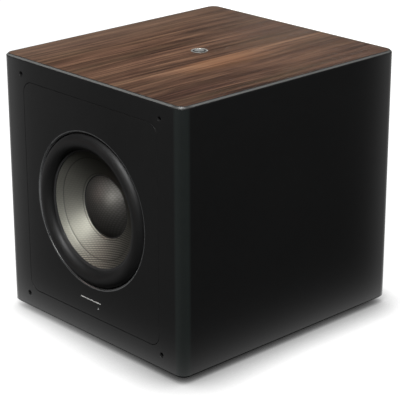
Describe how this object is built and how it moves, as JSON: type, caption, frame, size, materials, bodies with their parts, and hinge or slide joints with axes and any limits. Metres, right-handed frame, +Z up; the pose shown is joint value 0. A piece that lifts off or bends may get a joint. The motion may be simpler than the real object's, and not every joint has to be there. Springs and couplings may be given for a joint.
{
  "type": "subwoofer",
  "caption": "Cube-shaped sealed powered subwoofer: black cabinet with rounded upright edges, framed wood top, a front-firing woven-cone driver and a recessed rear amplifier panel.",
  "frame": {"origin": "middle of the overall plan, on the floor under the feet; the surround's crown stands 6.2 mm proud of the front, so this is 3.1 mm in front of the cabinet's own middle", "axes": "-Y is the driver side, +Y the amplifier side, +Z up, +X to the right when facing the driver"},
  "size_m": [0.4, 0.4472, 0.4158],
  "materials": {
    "cabinet_satin_black": "satin black lacquer on fibreboard",
    "raw_board": "bare fibreboard",
    "base_black": "matt black sealed fibreboard",
    "trim_satin_metal": "fine satin anodised",
    "walnut_veneer": "open-grain satin veneer",
    "polished_metal": "polished",
    "fascia_black": "satin black moulding",
    "black_rubber": "soft matt rubber",
    "surround_rubber": "satin rubber half roll",
    "woven_cone": "woven glass-fibre composite",
    "woven_cap": "resin-coated woven dome",
    "nylon_clips": "moulded nylon",
    "led_lens": "clear moulded lens",
    "circuit_board": "solder-masked laminate",
    "wadding_fibre": "polyester wadding",
    "cast_frame": "powder-coated casting",
    "coil_former": "thin formed sheet",
    "copper_wire": "enamelled copper wire",
    "spider_cloth": "resin-dipped woven cloth",
    "plated_steel": "zinc-plated",
    "black_screws": "black oxide",
    "ferrite": "ground ceramic magnet",
    "cable_jacket": "flexible insulation",
    "amp_black": "fine-textured powder coat",
    "sink_black": "black anodised extrusion",
    "cover_steel": "folded sheet",
    "transformer_tape": "taped copper winding",
    "capacitor_sleeve": "shrink sleeve",
    "transistor_epoxy": "moulded epoxy",
    "pot_metal": "pressed can",
    "knob_black": "moulded, fluted",
    "socket_metal": "gold-flashed barrels",
    "inlet_black": "moulded thermoplastic"
  },
  "bodies": {
    "cabinet": {"cabinet_shell": "cabinet_satin_black", "top_board": "raw_board", "window_brace": "raw_board", "bottom_board": "base_black", "top_trim": "trim_satin_metal", "top_veneer_panel": "walnut_veneer", "top_badge": "polished_metal", "accent_bar": "polished_metal", "front_fascia": "fascia_black", "rubber_feet": "black_rubber", "grille_sockets": "black_rubber", "magnet_boot": "black_rubber", "amp_gasket": "black_rubber", "basket_gasket": "black_rubber", "surround": "surround_rubber", "fascia_clips": "nylon_clips", "terminal_block": "nylon_clips", "slide_switch_bodies": "nylon_clips", "status_led_lens": "led_lens", "status_led_board": "circuit_board", "power_board": "circuit_board", "control_board": "circuit_board", "damping_wadding": "wadding_fibre", "driver_basket": "cast_frame", "shorting_ring": "coil_former", "tinsel_leads": "copper_wire", "spider": "spider_cloth", "motor_top_plate": "plated_steel", "t_yoke": "plated_steel", "driver_tee_nuts": "plated_steel", "motor_screws": "plated_steel", "foot_screws": "plated_steel", "transformer_bolt": "plated_steel", "pot_nuts": "plated_steel", "driver_screws": "black_screws", "amp_screws": "black_screws", "magnet_rings": "ferrite", "driver_cable": "cable_jacket", "amp_plate": "amp_black", "heat_sink": "sink_black", "amp_back_box": "cover_steel", "toroidal_transformer": "transformer_tape", "reservoir_capacitors": "capacitor_sleeve", "output_transistors": "transistor_epoxy", "control_pots": "pot_metal", "rca_sockets": "socket_metal", "inlet_pins": "socket_metal", "mains_inlet": "inlet_black"},
    "moving_cone": {"cone": "woven_cone", "dust_cap": "woven_cap", "voice_coil_former": "coil_former", "voice_coil": "copper_wire"},
    "volume_control": {"volume_shaft": "pot_metal", "volume_knob": "knob_black"},
    "crossover_control": {"crossover_shaft": "pot_metal", "crossover_knob": "knob_black"},
    "phase_switch": {"phase_slider": "knob_black"},
    "mode_switch": {"mode_slider": "knob_black"},
    "power_rocker": {"mains_rocker": "knob_black"},
    "fuse_carrier": {"fuse_drawer": "knob_black"}
  },
  "joints": [
    {"name": "cone_travel", "type": "slide", "parent": "cabinet", "child": "moving_cone", "axis": [0, -1, 0], "range_m": [-0.012, 0.012], "stiffness_N_per_m": 2500, "deforming": ["surround", "spider", "tinsel_leads"]},
    {"name": "volume_turn", "type": "hinge", "parent": "cabinet", "child": "volume_control", "pos_m": [-0.06, 0.2176, 0.3085], "axis": [0, 1, 0], "range_deg": [-150, 150]},
    {"name": "crossover_turn", "type": "hinge", "parent": "cabinet", "child": "crossover_control", "pos_m": [0.014, 0.2176, 0.3085], "axis": [0, 1, 0], "range_deg": [-150, 150]},
    {"name": "phase_slide", "type": "slide", "parent": "cabinet", "child": "phase_switch", "axis": [1, 0, 0], "range_m": [0, 0.004]},
    {"name": "mode_slide", "type": "slide", "parent": "cabinet", "child": "mode_switch", "axis": [1, 0, 0], "range_m": [-0.004, 0.004]},
    {"name": "rocker_tilt", "type": "hinge", "parent": "cabinet", "child": "power_rocker", "pos_m": [0.06, 0.2056, 0.147], "axis": [0, 0, 1], "range_deg": [0, 16]},
    {"name": "fuse_pull", "type": "slide", "parent": "cabinet", "child": "fuse_carrier", "axis": [0, 1, 0], "range_m": [0, 0.016]}
  ]
}
